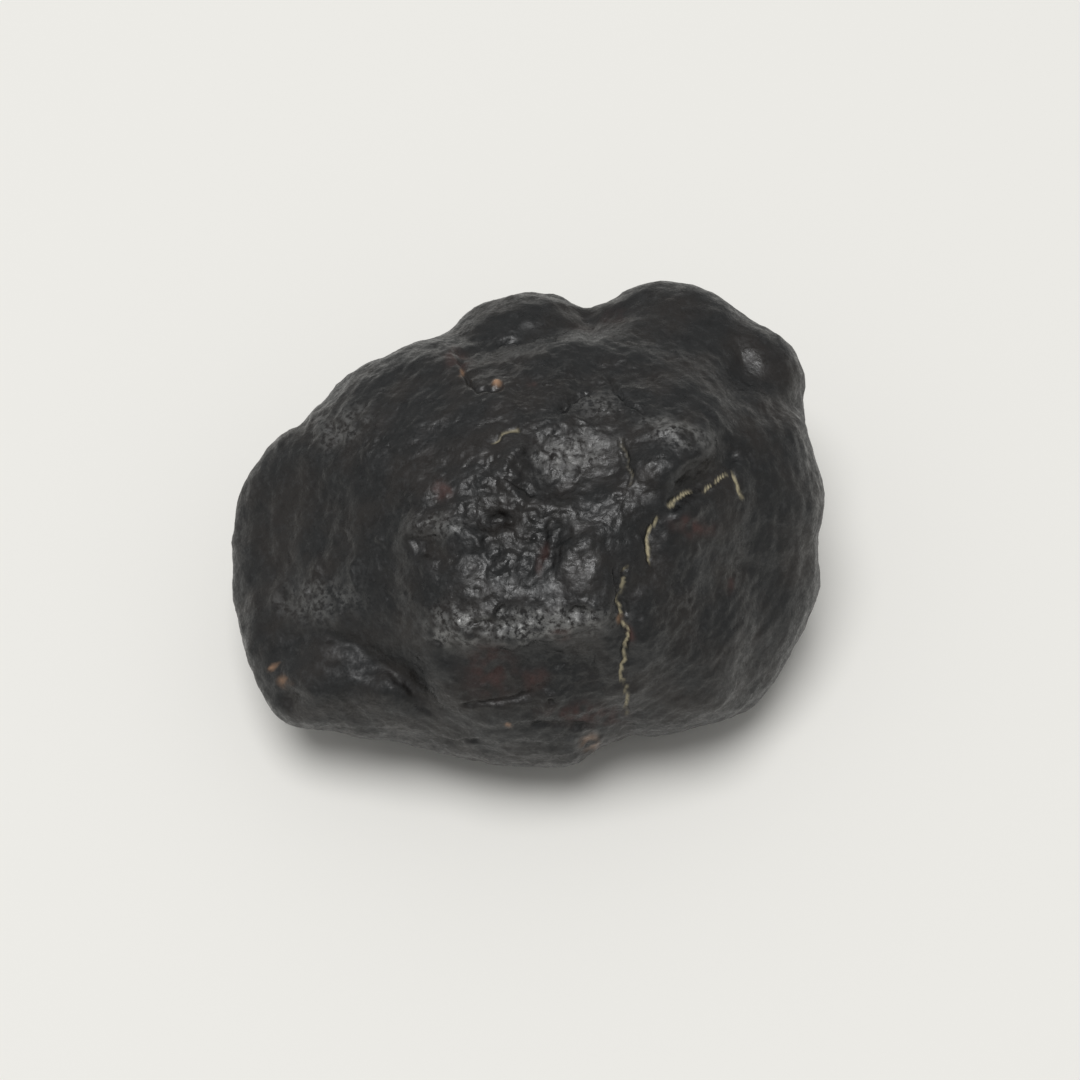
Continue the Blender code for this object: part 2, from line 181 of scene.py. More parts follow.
# %% Flats
# A point on the board, and the azimuth and elevation that each flat faces.
FLATS = {
    "plateau": ((7.0, 4.0, 30.5), -100.0, 74.0),
    "front face": ((0.0, -28.0, 26.5), -90.0, 24.0),
    "left slope": ((-22.5, -6.0, 26.0), -155.0, 47.0),
    "back slope": ((10.0, 20.0, 21.0), 85.0, 75.0),
}
FLAT_BLEND = 1.2
print("flats", len(FLATS))

# %% Between the board and space
def on_space(x, y, depth):
    """Points in space for places on the board; what is nearer to the eye is drawn larger."""
    shrink = 1.0 - np.asarray(depth) / SIGHT_DISTANCE
    sideways = np.multiply.outer(x * shrink, RIGHT) + np.multiply.outer(y * shrink, UP)
    return sideways + np.multiply.outer(depth, OUT)


def on_board(points):
    """Places on the board, and depths, of points in space."""
    depth = points @ OUT
    shrink = 1.0 - depth / SIGHT_DISTANCE
    return points @ RIGHT / shrink, points @ UP / shrink, depth


def facing(azimuth, elevation):
    """Unit vector that points at an azimuth and an elevation."""
    a, e = math.radians(azimuth), math.radians(elevation)
    return np.array([math.cos(e) * math.cos(a), math.cos(e) * math.sin(a), math.sin(e)])


print("the core's middle in space", on_space(*LOBES["core"][0]).round(1), "mm")

# %% Distance to the body
# Limits that keep the sums within what a number can hold.
LEAST_SLOPE = 1e-9
LEAST_SUM = 1e-300
LOBE_RANGE = (-60.0, 200.0)


def lobes_distance(points):
    """Rough distance to the lobes melted together: minus the log of the sum of exp(-distance).

    With q the way from a lobe's middle and s the length of q over its half lengths, the lobe's own distance
    is s times (s - 1), over the length of q over its squared half lengths. That is exact for a ball.
    """
    total = np.zeros(len(points))
    for place, half_lengths, turn in LOBES.values():
        q = points - on_space(*place)
        c, s = math.cos(math.radians(turn)), math.sin(math.radians(turn))
        q = np.stack([q[:, 0] * c + q[:, 1] * s, q[:, 1] * c - q[:, 0] * s, q[:, 2]], axis=1)
        half = np.array(half_lengths)
        stretch = np.linalg.norm(q / half, axis=1)
        slope = np.maximum(np.linalg.norm(q / half ** 2, axis=1), LEAST_SLOPE)
        distance = np.clip(stretch * (stretch - 1.0) / slope, *LOBE_RANGE)
        total += np.exp(-distance / LOBE_BLEND)
    return -LOBE_BLEND * np.log(np.maximum(total, LEAST_SUM))


def body_distance(points):
    """Distance to the lobes, planed by each flat.

    It is the larger of the two distances, and a parabola rounds the edge where they are nearly equal.
    """
    distance = lobes_distance(points)
    for place, azimuth, elevation in FLATS.values():
        plane = (points - on_space(*place)) @ facing(azimuth, elevation)
        share = np.clip(0.5 + 0.25 * (distance - plane) / FLAT_BLEND, 0.0, 1.0)
        distance = distance * share + plane * (1.0 - share) + 2.0 * FLAT_BLEND * share * (1.0 - share)
    return distance


def body_reach(directions, start=60.0, steps=34, stride=0.75):
    """How far the body reaches in each direction, walking inwards by most of the distance left."""
    reach = np.full(len(directions), start)
    for _ in range(steps):
        reach -= stride * body_distance(directions * reach[:, None])
    return reach


body = rays * body_reach(rays)[:, None]
print("the body misses its surface by at most", round(float(np.abs(body_distance(body)).max()), 3), "mm")

# %% [markdown]
# ## The outline
# The lobes give nearly the right outline. More lobes could chase the rest, but each would bulge on the
# hidden side too. So the rest is a stretch on the board: at each turn round it the body's own reach is
# measured, and the points near the rim are moved out or in by the share that is missing.

# %% The stone's edge on the board
OUTLINE = (
    (-50.2, -3.3), (-49.7, 2.4), (-48.6, 6.7), (-46.1, 10.6), (-43.2, 14.2), (-38.6, 17.1), (-34.3, 21.8),
    (-29.3, 26.0), (-24.3, 28.9), (-16.0, 32.0), (-13.2, 33.2), (-10.7, 35.7), (-6.5, 38.2), (-1.4, 39.3),
    (3.6, 39.3), (7.1, 37.8), (9.9, 36.9), (12.9, 37.6), (17.9, 40.5), (21.1, 41.4), (27.9, 40.7),
    (31.5, 39.3), (37.9, 35.0), (42.3, 32.1), (45.5, 29.2), (47.1, 26.0), (46.9, 23.1), (46.0, 21.4),
    (48.3, 12.4), (50.0, 8.2), (50.3, 4.6), (49.8, 1.0), (49.1, -2.2), (49.8, -6.2), (49.6, -10.5),
    (46.2, -19.4), (43.7, -23.7), (40.5, -28.7), (37.2, -31.6), (29.4, -34.1), (20.7, -35.9),
    (17.2, -35.5), (12.8, -37.7), (10.5, -39.4), (7.7, -41.0), (2.9, -41.1), (-3.1, -40.8),
    (-9.9, -40.0), (-15.8, -38.4), (-21.8, -36.7), (-33.7, -35.0), (-39.1, -34.3), (-42.2, -32.8),
    (-44.2, -30.5), (-45.2, -28.1), (-48.3, -21.2), (-49.3, -16.2), (-50.0, -10.5),
)
# Turns to measure at, the angles from the line of sight that the rim may lie at, and the share of the reach
# over which the stretch sets in.
RIM_STEPS = 240
RIM_TIPS = (50.0, 130.0, 21)
RIM_BAND = (0.45, 0.95)
FULL_TURN = 2.0 * math.pi
print("points of the outline", len(OUTLINE))

# %% Fit the body to its outline
def smooth(t):
    """0 below 0, 1 above 1, and an S-curve between."""
    t = np.clip(t, 0.0, 1.0)
    return t * t * (3.0 - 2.0 * t)


def rise(value, low, high):
    """0 at low, 1 at high, and an S-curve between."""
    return smooth((value - low) / (high - low))


def rim_scale():
    """Turns round the board, the body's own reach there, and the outline's share of that reach.

    Each share is averaged with its two neighbours.
    """
    turns = np.linspace(0.0, FULL_TURN, RIM_STEPS, endpoint=False)
    tips = np.radians(np.linspace(*RIM_TIPS))
    t, p = np.meshgrid(turns, tips, indexing="ij")
    directions = (np.multiply.outer(np.sin(p) * np.cos(t), RIGHT)
                  + np.multiply.outer(np.sin(p) * np.sin(t), UP)
                  + np.multiply.outer(np.cos(p), OUT)).reshape(-1, 3)
    x, y, _ = on_board(directions * body_reach(directions)[:, None])
    reach = np.hypot(x, y).reshape(t.shape).max(axis=1)
    edge = np.array(OUTLINE)
    wanted = np.interp(turns, np.arctan2(edge[:, 1], edge[:, 0]) % FULL_TURN,
                       np.hypot(edge[:, 0], edge[:, 1]), period=FULL_TURN)
    share = wanted / reach
    share = 0.25 * np.roll(share, 1) + 0.5 * share + 0.25 * np.roll(share, -1)
    return turns, reach, share


def fit_outline(points):
    """Places and depths of the body's points, stretched near its rim to meet the outline."""
    turns, reach, share = rim_scale()
    x, y, depth = on_board(points)
    turn = np.arctan2(y, x) % FULL_TURN
    near = np.hypot(x, y) / np.interp(turn, turns, reach, period=FULL_TURN)
    stretch = 1.0 + rise(near, *RIM_BAND) * (np.interp(turn, turns, share, period=FULL_TURN) - 1.0)
    return x * stretch, y * stretch, depth, near


x, y, depth, nearness = fit_outline(body)
print("on the board the stone is", round(float(np.ptp(x)), 1), "by", round(float(np.ptp(y)), 1), "mm")

# %% [markdown]
# ## The main forms of the best side
# Dents are soft ovals, ridges follow bent lines, and a ledge is a step along a line. They could be carved
# with a sculpting brush, but a formula for each can be read, changed and run again. All are drawn on the
# board and pushed along the line of sight. Smooth random waves shake the drawing, because nothing on a stone
# is straight or evenly round.

# %% Dents and bumps
# Place on the board, half sizes, turn, height (less than 0 for a hollow), steepness.
DENTS = {
    "bowl": ((7.5, 10.4), (9.0, 6.0), 15.0, -2.4, 2.0),
    "dome": ((25.8, 10.7), (5.8, 5.4), 0.0, 2.0, 1.5),
    "knob behind the dome": ((22.4, 18.5), (4.4, 2.7), 0.0, 0.8, 1.0),
    "pit under the arc": ((-17.0, -3.6), (2.6, 2.0), 0.0, -1.2, 1.0),
    "smooth block": ((9.9, -7.0), (5.0, 6.2), 0.0, 1.2, 2.0),
    "middle pit": ((-3.9, 0.9), (2.6, 1.3), 0.0, -1.2, 1.0),
    "crest hollow": ((8.8, -15.3), (3.4, 1.3), 10.0, -0.9, 1.0),
    "right hollow of the face": ((10.5, -24.3), (5.5, 5.0), 0.0, -1.6, 1.0),
    "left hollow of the face": ((-4.8, -26.7), (5.0, 3.2), 0.0, -0.7, 1.0),
    "shelf": ((-31.1, -29.2), (10.0, 3.6), -5.0, 1.2, 1.5),
    "end of the shelf": ((-21.8, -29.8), (4.5, 3.6), -20.0, 1.0, 1.5),
    "pit in the toe": ((-40.8, -29.8), (2.4, 2.2), 0.0, -1.2, 1.0),
    "flake scar": ((-7.0, 26.4), (4.2, 3.6), 0.0, -1.0, 2.0),
    "left plain": ((-37.1, 9.4), (9.0, 12.0), 0.0, -0.8, 1.0),
    "right patch": ((23.8, -14.8), (4.0, 6.0), 20.0, -0.9, 1.0),
    "low right patch": ((25.5, -28.1), (4.0, 2.4), 0.0, -0.9, 1.0),
    "flake by the hollow": ((28.4, 1.7), (2.6, 1.8), 0.0, 0.9, 2.0),
    "saddle hollow": ((13.9, 35.2), (5.0, 2.2), 20.0, -1.2, 1.0),
}


def dent(x, y, place, half_sizes, turn, height, steepness):
    """An oval bump: height times exp(-q ** steepness), q the squared distance in half sizes."""
    c, s = math.cos(math.radians(turn)), math.sin(math.radians(turn))
    dx, dy = x - place[0], y - place[1]
    q = ((dx * c + dy * s) / half_sizes[0]) ** 2 + ((dy * c - dx * s) / half_sizes[1]) ** 2
    return height * np.exp(-q ** steepness)


print("dents and bumps", len(DENTS))

# %% Ridges and grooves
# A bent line on the board, half width, height (less than 0 for a groove).
RIDGES = {
    "crest": (((-16.3, -21.6), (-11.6, -19.6), (-7.8, -18.5), (-3.9, -18.4), (0.3, -19.2), (4.6, -17.7),
               (8.0, -16.2), (12.8, -14.5), (15.3, -11.1)), 2.4, 1.5),
    "arc ridge": (((-20.4, -6.8), (-20.4, -2.9), (-18.0, 0.0), (-13.3, 0.2), (-9.0, -1.7), (-4.8, -3.9)),
                  1.8, 1.2),
    "bowl wall": (((0.3, 16.2), (-2.9, 13.1), (-4.2, 8.7), (-2.2, 5.6), (2.9, 3.7), (9.7, 3.1)), 1.8, 0.9),
    "brow of the dome": (((19.0, 15.0), (23.8, 16.2), (27.5, 15.1), (29.9, 12.4)), 1.6, 1.0),
    "deep hollow": (((23.8, 2.9), (27.5, 6.0), (31.3, 8.7), (34.7, 12.4), (36.4, 15.1)), 2.2, -3.2),
    "right valley": (((36.4, 15.1), (35.4, 21.2), (35.7, 31.5)), 3.0, -1.0),
    "right seam": (((23.8, 2.9), (21.6, -1.7), (20.7, -6.8), (17.7, -11.1), (16.5, -19.6), (16.8, -32.3)),
                   2.4, -1.3),
    "toe groove": (((-43.0, -19.6), (-35.4, -18.9), (-29.9, -20.9), (-25.2, -24.3), (-20.9, -27.0),
                    (-18.0, -29.8), (-15.0, -32.5)), 2.0, -1.6),
    "deep end of the toe groove": (((-22.6, -25.7), (-19.7, -28.1), (-17.7, -30.4)), 2.0, -1.4),
    "left dip": (((-22.4, -2.6), (-22.1, -12.8), (-20.1, -21.2), (-17.0, -28.1)), 2.6, -1.0),
    "top groove": (((-10.2, 29.4), (-1.4, 30.6), (5.4, 31.8), (10.5, 34.5)), 1.8, -1.4),
    "middle step": (((8.0, 0.5), (5.4, -1.9), (4.1, -6.0), (3.4, -11.1)), 1.6, -0.9),
    "lip groove": (((-15.0, -32.5), (-9.9, -34.5), (-4.8, -36.2)), 1.5, -1.2),
}
# A ridge fades at each end over this many of its half widths.
RIDGE_FADE = 2.5


def line_field(x, y, line, fade):
    """Distance to a bent line, its side (more than 0 on the right) and a fade towards its two ends."""
    best = np.full(x.shape, np.inf)
    side = np.zeros(x.shape)
    along = np.zeros(x.shape)
    run = 0.0
    for (ax, ay), (bx, by) in zip(line[:-1], line[1:]):
        ex, ey = bx - ax, by - ay
        length = math.hypot(ex, ey)
        t = np.clip(((x - ax) * ex + (y - ay) * ey) / length ** 2, 0.0, 1.0)
        dx, dy = x - ax - t * ex, y - ay - t * ey
        distance = np.hypot(dx, dy)
        nearer = distance < best
        side = np.where(nearer, dx * ey - dy * ex, side)
        along = np.where(nearer, run + t * length, along)
        best = np.where(nearer, distance, best)
        run += length
    return best, side, smooth(along / fade) * smooth((run - along) / fade)


def ridge(x, y, line, half_width, height):
    """A rounded ridge: height times exp(-(distance / half width) ** 2), faded at both ends."""
    distance, _, fade = line_field(x, y, line, RIDGE_FADE * half_width)
    return height * fade * np.exp(-(distance / half_width) ** 2)


print("ridges and grooves", len(RIDGES))

# %% The ledge in front
# A bent line along the edge, the drop on its right, how sharp the edge is, how far the drop goes.
LEDGES = {
    "front drop": (((-16.7, -22.6), (-11.6, -20.7), (-7.8, -19.9), (-3.9, -19.7), (0.3, -20.4),
                    (4.6, -19.0), (7.1, -17.9), (13.1, -16.2)), 1.6, 1.0, 6.0),
}
LEDGE_FADE = 4.0


def ledge(x, y, line, drop, sharpness, reach):
    """A step down on the right of a bent line.

    It is the drop times (1 - exp(-distance / sharpness)) times exp(-(distance / reach) ** 2).
    """
    distance, side, fade = line_field(x, y, line, LEDGE_FADE)
    below = np.where(side > 0.0, distance, 0.0)
    return -drop * fade * (1.0 - np.exp(-below / sharpness)) * np.exp(-(below / reach) ** 2)


print("ledges", len(LEDGES))

# %% Waves that shake the drawing
# Size and reach of each wave, and the first seeds across and up.
SHAKES = ((9.0, 1.3), (4.0, 0.7))
SHAKE_SEEDS = (1, 5)
# Large uneven numbers that make the sine of a whole-numbered place look random.
SCATTER = (127.1, 311.7, 74.7, 43758.5453)
SEED_SHIFT = (37.3, 11.9)


def scatter(i, j, seed):
    """A number from 0 to 1 for each whole-numbered place, which looks random."""
    v = np.sin(i * SCATTER[0] + j * SCATTER[1] + seed * SCATTER[2]) * SCATTER[3]
    return v - np.floor(v)


def waves(x, y, size, seed):
    """Smooth random waves from -1 to 1: scattered numbers on squares of a size, blended between corners."""
    gx, gy = x / size + SEED_SHIFT[0] * seed, y / size + SEED_SHIFT[1] * seed
    i, j = np.floor(gx), np.floor(gy)
    u, v = smooth(gx - i), smooth(gy - j)
    low = scatter(i, j, seed) * (1.0 - u) + scatter(i + 1.0, j, seed) * u
    high = scatter(i, j + 1.0, seed) * (1.0 - u) + scatter(i + 1.0, j + 1.0, seed) * u
    return 2.0 * (low * (1.0 - v) + high * v) - 1.0


def shaken(x, y, table, seeds):
    """Places moved across and up by a table's waves."""
    return [along + sum(reach * waves(x, y, size, seed + k) for k, (size, reach) in enumerate(table))
            for along, seed in zip((x, y), seeds)]


shaken_x, shaken_y = shaken(x, y, SHAKES, SHAKE_SEEDS)
print("the drawing is shaken by up to", round(float(np.abs(shaken_x - x).max()), 2), "mm")

# %% Push the main forms into the body
# Relief of the best side sets in between these depths.
FRONT_DEPTHS = (-6.0, 4.0)

forms = np.zeros(len(x))
for form, table in ((dent, DENTS), (ridge, RIDGES), (ledge, LEDGES)):
    for values in table.values():
        forms += form(shaken_x, shaken_y, *values)
seen = rise(depth, *FRONT_DEPTHS)
points = on_space(x, y, depth + seen * forms)
print("main forms from", round(float(forms.min()), 2), "to", round(float(forms.max()), 2), "mm")

# %% [markdown]
# ## Thumbprints of the hidden side
# The air scooped shallow hollows into such stones, each about as wide as a thumb. Drawn one by one they
# would say more than is known of that side. So they are spread evenly over the ball by the golden angle and
# nudged at random, and each has a faint rim. The best side has its own forms, so they start behind it.

# %% Thumbprints
# Cosine of the angle from the line of sight where they set in, and where they are full.
HIDDEN_TURN = (-0.40, -0.65)
# Sizes and the nudge are shares of the ball's radius, and depths are millimetres.
THUMBPRINTS = 46
THUMBPRINT_SCATTER = 0.10
THUMBPRINT_SIZES = (0.13, 0.24)
THUMBPRINT_DEPTHS = (0.7, 1.7)
# The rim's height as a share of the depth, and its place and width in sizes of the thumbprint.
THUMBPRINT_RIM = 0.35
THUMBPRINT_RIM_AT = 1.25
THUMBPRINT_RIM_WIDTH = 0.35
SEED = 7


def even_ball(count):
    """Evenly spread unit vectors, along a spiral from pole to pole by the golden angle."""
    k = np.arange(count) + 0.5
    z = 1.0 - 2.0 * k / count
    turn = math.pi * (1.0 + math.sqrt(5.0)) * k
    ring = np.sqrt(1.0 - z * z)
    return np.stack([ring * np.cos(turn), ring * np.sin(turn), z], axis=1)


def thumbprints(directions):
    """Shallow hollows with a faint rim, scattered over the ball.

    A hollow is its depth times exp(-away ** 3), with away the distance from its middle over its size. The
    rim is a share of the depth times exp(-q ** 2), with q how far away is from the rim, over its width.
    """
    rng = np.random.default_rng(SEED)
    centres = unit(even_ball(THUMBPRINTS) + rng.normal(0.0, THUMBPRINT_SCATTER, (THUMBPRINTS, 3)))
    sizes = rng.uniform(*THUMBPRINT_SIZES, THUMBPRINTS)
    depths = rng.uniform(*THUMBPRINT_DEPTHS, THUMBPRINTS)
    height = np.zeros(len(directions))
    for centre, size, deep in zip(centres, sizes, depths):
        away = np.sqrt(np.maximum(2.0 - 2.0 * directions @ centre, 0.0)) / size
        height -= deep * np.exp(-away ** 3)
        height += THUMBPRINT_RIM * deep * np.exp(-((away - THUMBPRINT_RIM_AT) / THUMBPRINT_RIM_WIDTH) ** 2)
    return height


hidden = rise(rays @ OUT, *HIDDEN_TURN)
points = points + rays * (hidden * thumbprints(rays))[:, None]
print("share of the ball with thumbprints", round(float((hidden > 0.5).mean()), 2))

# %% [markdown]
# ## Grain, in three dimensions
# Small relief has to wrap round the stone without stretching, so it is worked out from the points in space
# and not from the board. Gradient noise gives soft lumps: every corner of a cube lattice holds a random
# slope, and the eight slopes round a point are blended. Pits are small balls scattered one to a cell of
# another lattice: where a ball cuts the skin there is a pit.

# %% Lumps in space
NOISE_ORDER = 256
NOISE_GAIN = 1.6


def lattice(cells, order):
    """A whole number from 0 to 255 for each cell, by going through a shuffled order three times."""
    k = order[cells[:, 0] & (NOISE_ORDER - 1)]
    k = order[(k + cells[:, 1]) & (NOISE_ORDER - 1)]
    return order[(k + cells[:, 2]) & (NOISE_ORDER - 1)]


def grain(points, size, seed):
    """Gradient noise, about -1 to 1: each corner's slope times the way from it, blended by an S-curve."""
    rng = np.random.default_rng(seed)
    order = rng.permutation(NOISE_ORDER)
    slopes = unit(rng.normal(size=(NOISE_ORDER, 3)))
    place = points / size
    cell = np.floor(place).astype(np.int64)
    part = place - cell
    blend = part ** 3 * (part * (part * 6.0 - 15.0) + 10.0)
    total = np.zeros(len(points))
    for corner in np.ndindex(2, 2, 2):
        side = np.array(corner)
        climb = np.einsum("ij,ij->i", slopes[lattice(cell + side, order)], part - side)
        total += climb * np.prod(np.where(side, blend, 1.0 - blend), axis=1)
    return NOISE_GAIN * total


# %% Pits in space
# Radius in a cell that has no pit.
NO_PIT = 1e-3


def pits(points, cell_size, radii, share, seed):
    """Depth of round pits, 0 to 1: (1 - (distance / radius) ** 2) ** 2 round one random point in a cell."""
    rng = np.random.default_rng(seed)
    order = rng.permutation(NOISE_ORDER)
    offsets = rng.uniform(0.0, 1.0, (NOISE_ORDER, 3))
    radius = np.where(rng.uniform(size=NOISE_ORDER) < share, rng.uniform(*radii, NOISE_ORDER), NO_PIT)
    place = points / cell_size
    cell = np.floor(place).astype(np.int64)
    deepest = np.zeros(len(points))
    for corner in np.ndindex(3, 3, 3):
        near = cell + np.array(corner) - 1
        which = lattice(near, order)
        away = np.linalg.norm(place - near - offsets[which], axis=1) * cell_size / radius[which]
        deepest = np.maximum(deepest, np.clip(1.0 - away ** 2, 0.0, 1.0) ** 2 * radius[which] / radii[1])
    return deepest


# %% [markdown]
# ## Small relief
# From a step away the middle of the stone is rough and glittering, and its rim is smooth with faint streaks
# that run round it. A displacement texture would be as rough everywhere, so the grain has a share that
# changes over the board, drawn as soft ovals, and the streaks are waves in a polar drawing.

# %% Where the skin is rough
# Place on the board, half sizes, turn, amount, steepness.
ROUGH_PATCHES = {
    "middle": ((0.0, 2.0), (22.0, 15.0), 10.0, 1.0, 2.0),
    "crest": ((-2.0, -16.0), (17.0, 5.0), 5.0, 1.0, 1.5),
    "dome and brow": ((23.0, 13.0), (9.0, 8.0), 0.0, 0.7, 1.5),
    "upper middle": ((8.0, 22.0), (20.0, 8.0), 0.0, 0.9, 1.5),
    "front face": ((2.0, -27.0), (17.0, 9.0), 0.0, 1.0, 2.0),
    "upper left": ((-31.0, 15.0), (9.0, 7.0), 30.0, 0.8, 1.5),
    "left patch": ((-35.5, -13.0), (8.0, 6.0), 0.0, 0.7, 1.5),
    "right patch": ((25.0, -16.0), (7.0, 10.0), 0.0, 0.8, 1.5),
    "right groove": ((35.5, 24.0), (3.0, 9.0), 0.0, 0.5, 1.5),
    "by the hollow": ((31.0, 0.0), (6.0, 5.0), 0.0, 0.4, 1.5),
    "lip tip": ((8.0, -37.0), (9.0, 4.0), 0.0, 0.9, 1.5),
    "toe": ((-40.0, -27.0), (6.0, 5.0), 0.0, 0.5, 1.5),
}
ROUGH_FLOOR = 0.30
ROUGH_LIMIT = 1.2
HIDDEN_ROUGH = 0.45
# The share comes and goes in patches: their size, mean, swing and seed.
PATCH_SIZE = 7.0
PATCH_MEAN = 0.75
PATCH_SWING = 0.5
PATCH_SEED = 11

rough = ROUGH_FLOOR + np.zeros(len(points))
for values in ROUGH_PATCHES.values():
    rough = np.maximum(rough, dent(x, y, *values))
patchy = PATCH_MEAN + PATCH_SWING * grain(points, PATCH_SIZE, PATCH_SEED)
rough = np.clip((rough * seen + HIDDEN_ROUGH * (1.0 - seen)) * patchy, 0.0, ROUGH_LIMIT)
print("mean roughness of the relief", round(float(rough.mean()), 2))

# %% Grain and pits over the whole skin
# Size of the lumps, height on smooth skin, extra height on rough skin.
GRAIN = (
    (8.0, 0.32, 0.35),
    (4.0, 0.15, 0.38),
    (2.2, 0.06, 0.34),
    (1.2, 0.018, 0.24),
    (0.7, 0.007, 0.12),
)
# Cell, smallest and largest radius, share of cells with a pit, depth on smooth and on rough skin.
PITS = (
    (5.0, (0.6, 1.8), 0.40, 0.15, 0.80),
    (2.4, (0.35, 0.9), 0.50, 0.06, 0.60),
)
GRAIN_SEED = 20
PIT_SEED = 40

small = np.zeros(len(points))
for k, (size, base, extra) in enumerate(GRAIN):
    small += (base + extra * rough) * grain(points, size, GRAIN_SEED + k)
for k, (size, radii, share, base, extra) in enumerate(PITS):
    small -= (base + extra * rough) * pits(points, size, radii, share, PIT_SEED + k)
print("small relief from", round(float(small.min()), 2), "to", round(float(small.max()), 2), "mm")

# %% Streaks round the rim
STREAK_CENTRE = (3.0, 1.0)
STREAK_WIDTH = 1.1
STREAK_LENGTH = 9.0
STREAK_HEIGHT = 0.15
STREAK_BAND = (0.55, 0.80)
# The radius that turns a turn into a length, and how much finer and lower the second streaks are.
STREAK_RADIUS = 40.0
FINE_STREAK = 2.1
FINE_STREAK_HEIGHT = 0.5
STREAK_SEEDS = (60, 61)


def streaks(x, y):
    """Waves that are short outwards and long round the rim: noise over (distance, turn times a radius)."""
    away = np.hypot(x - STREAK_CENTRE[0], y - STREAK_CENTRE[1])
    turn = np.arctan2(y - STREAK_CENTRE[1], x - STREAK_CENTRE[0])
    place = np.stack([away / STREAK_WIDTH, STREAK_RADIUS * np.cos(turn) / STREAK_LENGTH,
                      STREAK_RADIUS * np.sin(turn) / STREAK_LENGTH], axis=1)
    fine = FINE_STREAK_HEIGHT * grain(place * FINE_STREAK, 1.0, STREAK_SEEDS[1])
    return grain(place, 1.0, STREAK_SEEDS[0]) + fine


rim = rise(nearness, *STREAK_BAND) * seen
small += STREAK_HEIGHT * rim * streaks(x, y)
print("share of the skin with streaks", round(float((rim > 0.5).mean()), 2))

# %% [markdown]
# ## Cracks
# Thin cracks cross the stone, and some hold pale earth. Cutting them out would need far more faces, so each
# is a bent line with a jitter of its own. The groove goes into the mesh, and a point attribute remembers
# where the pale filling lies, for the material.

# %% The cracks
# A bent line on the board, half width, depth of the groove, and how much of it is filled.
CRACKS = {
    "long crack": (((16.0, -11.1), (15.8, -13.1), (16.3, -15.5), (16.8, -18.2), (16.5, -21.2),
                    (16.3, -24.3), (16.8, -27.7), (16.7, -31.1), (16.5, -32.5)), 0.42, 0.7, 1.0),
    "left strand": (((15.0, -7.0), (15.1, -9.7), (15.5, -12.4)), 0.30, 0.6, 0.0),
    "right strand": (((17.2, -6.6), (16.3, -8.7), (16.0, -11.6)), 0.35, 0.6, 0.6),
    "back strand": (((16.0, -12.4), (17.0, -13.8), (17.5, -16.2)), 0.35, 0.8, 0.0),
    "curved crack": (((22.6, 0.9), (21.4, -1.4), (20.9, -3.1), (20.7, -4.6), (21.4, -6.6)), 0.38, 0.6, 1.0),
    "hollow's filling": (((23.6, 2.7), (25.0, 4.1), (26.4, 4.9), (27.8, 5.8)), 0.50, 0.3, 1.0),
    "hollow's far filling": (((29.3, 5.4), (30.9, 6.6), (32.6, 7.8), (34.4, 8.4)), 0.34, 0.3, 1.0),
    "hollow's branch": (((34.7, 9.0), (35.5, 7.3), (36.0, 5.6), (36.5, 3.8)), 0.34, 0.4, 0.9),
    "bowl's tip": (((-6.4, 13.8), (-4.2, 15.1), (-2.7, 15.8), (-1.0, 16.4)), 0.34, 0.4, 0.5),
    "bowl's lower rim": (((-4.3, 8.0), (-1.9, 7.1), (-0.2, 6.0), (1.9, 4.6)), 0.45, 0.7, 0.0),
    "dome's side": (((15.8, 15.2), (16.5, 11.9), (17.2, 9.4), (17.9, 6.3)), 0.40, 0.6, 0.15),
    "left of the knob": (((4.9, 18.7), (7.5, 21.2), (8.8, 22.1), (11.4, 22.8)), 0.40, 0.6, 0.0),
    "right of the knob": (((13.3, 25.2), (15.0, 22.6), (16.3, 20.9), (18.0, 19.7), (20.8, 18.2)),
                          0.35, 0.5, 0.0),
    "rim of the flake scar": (((-11.5, 28.9), (-10.9, 26.0), (-9.7, 24.1), (-8.2, 22.8), (-6.1, 22.3),
                               (-3.5, 23.5)), 0.42, 0.7, 0.0),
    "top line": (((-12.9, 29.0), (-9.9, 29.8), (-6.5, 30.4), (-2.2, 31.5), (2.0, 30.9), (5.2, 32.0)),
                 0.5, 0.6, 0.0),
    "face ledge line": (((-12.0, -30.9), (-8.2, -30.3), (-4.8, -29.9), (-1.4, -29.2), (1.6, -28.5)),
                        0.45, 0.6, 0.0),
    "lip line": (((0.0, -34.3), (2.9, -34.2), (5.4, -34.2), (8.8, -34.3), (12.6, -34.2)), 0.40, 0.6, 0.0),
    "crest's left line": (((-17.1, -20.0), (-15.3, -20.4), (-13.5, -20.7)), 0.35, 0.6, 0.0),
    "crest's middle line": (((-10.3, -17.4), (-7.3, -16.8), (-5.2, -17.4)), 0.35, 0.5, 0.0),
    "underside crack": (((-14.5, -36.6), (-12.4, -37.2), (-10.7, -36.7), (-7.8, -36.9)), 0.35, 0.5, 0.0),
}
CRACK_JITTER = ((2.6, 0.45), (1.1, 0.28))
CRACK_SEEDS = (11, 15)
print("cracks", len(CRACKS))

# %% Grooves and their filling
CRACK_FADE = 1.2
# The filling's width as a share of the groove's, and the noise that leaves gaps in it.
FILLING_WIDTH = 0.52
FILLING_LUMPS = 1.6
FILLING_GAPS = (-0.55, -0.15)
FILLING_SEED = 70

crack_x, crack_y = shaken(x, y, CRACK_JITTER, CRACK_SEEDS)
filling = np.zeros(len(points))
for line, half_width, crack_depth, share in CRACKS.values():
    distance, _, fade = line_field(crack_x, crack_y, line, CRACK_FADE)
    small -= seen * crack_depth * (fade * np.exp(-(distance / half_width) ** 2))
    filled = seen * share * fade * np.exp(-(distance / (FILLING_WIDTH * half_width)) ** 4)
    filling = np.maximum(filling, filled)
filling *= rise(grain(points, FILLING_LUMPS, FILLING_SEED), *FILLING_GAPS)
print("points with pale filling", int((filling > 0.5).sum()))

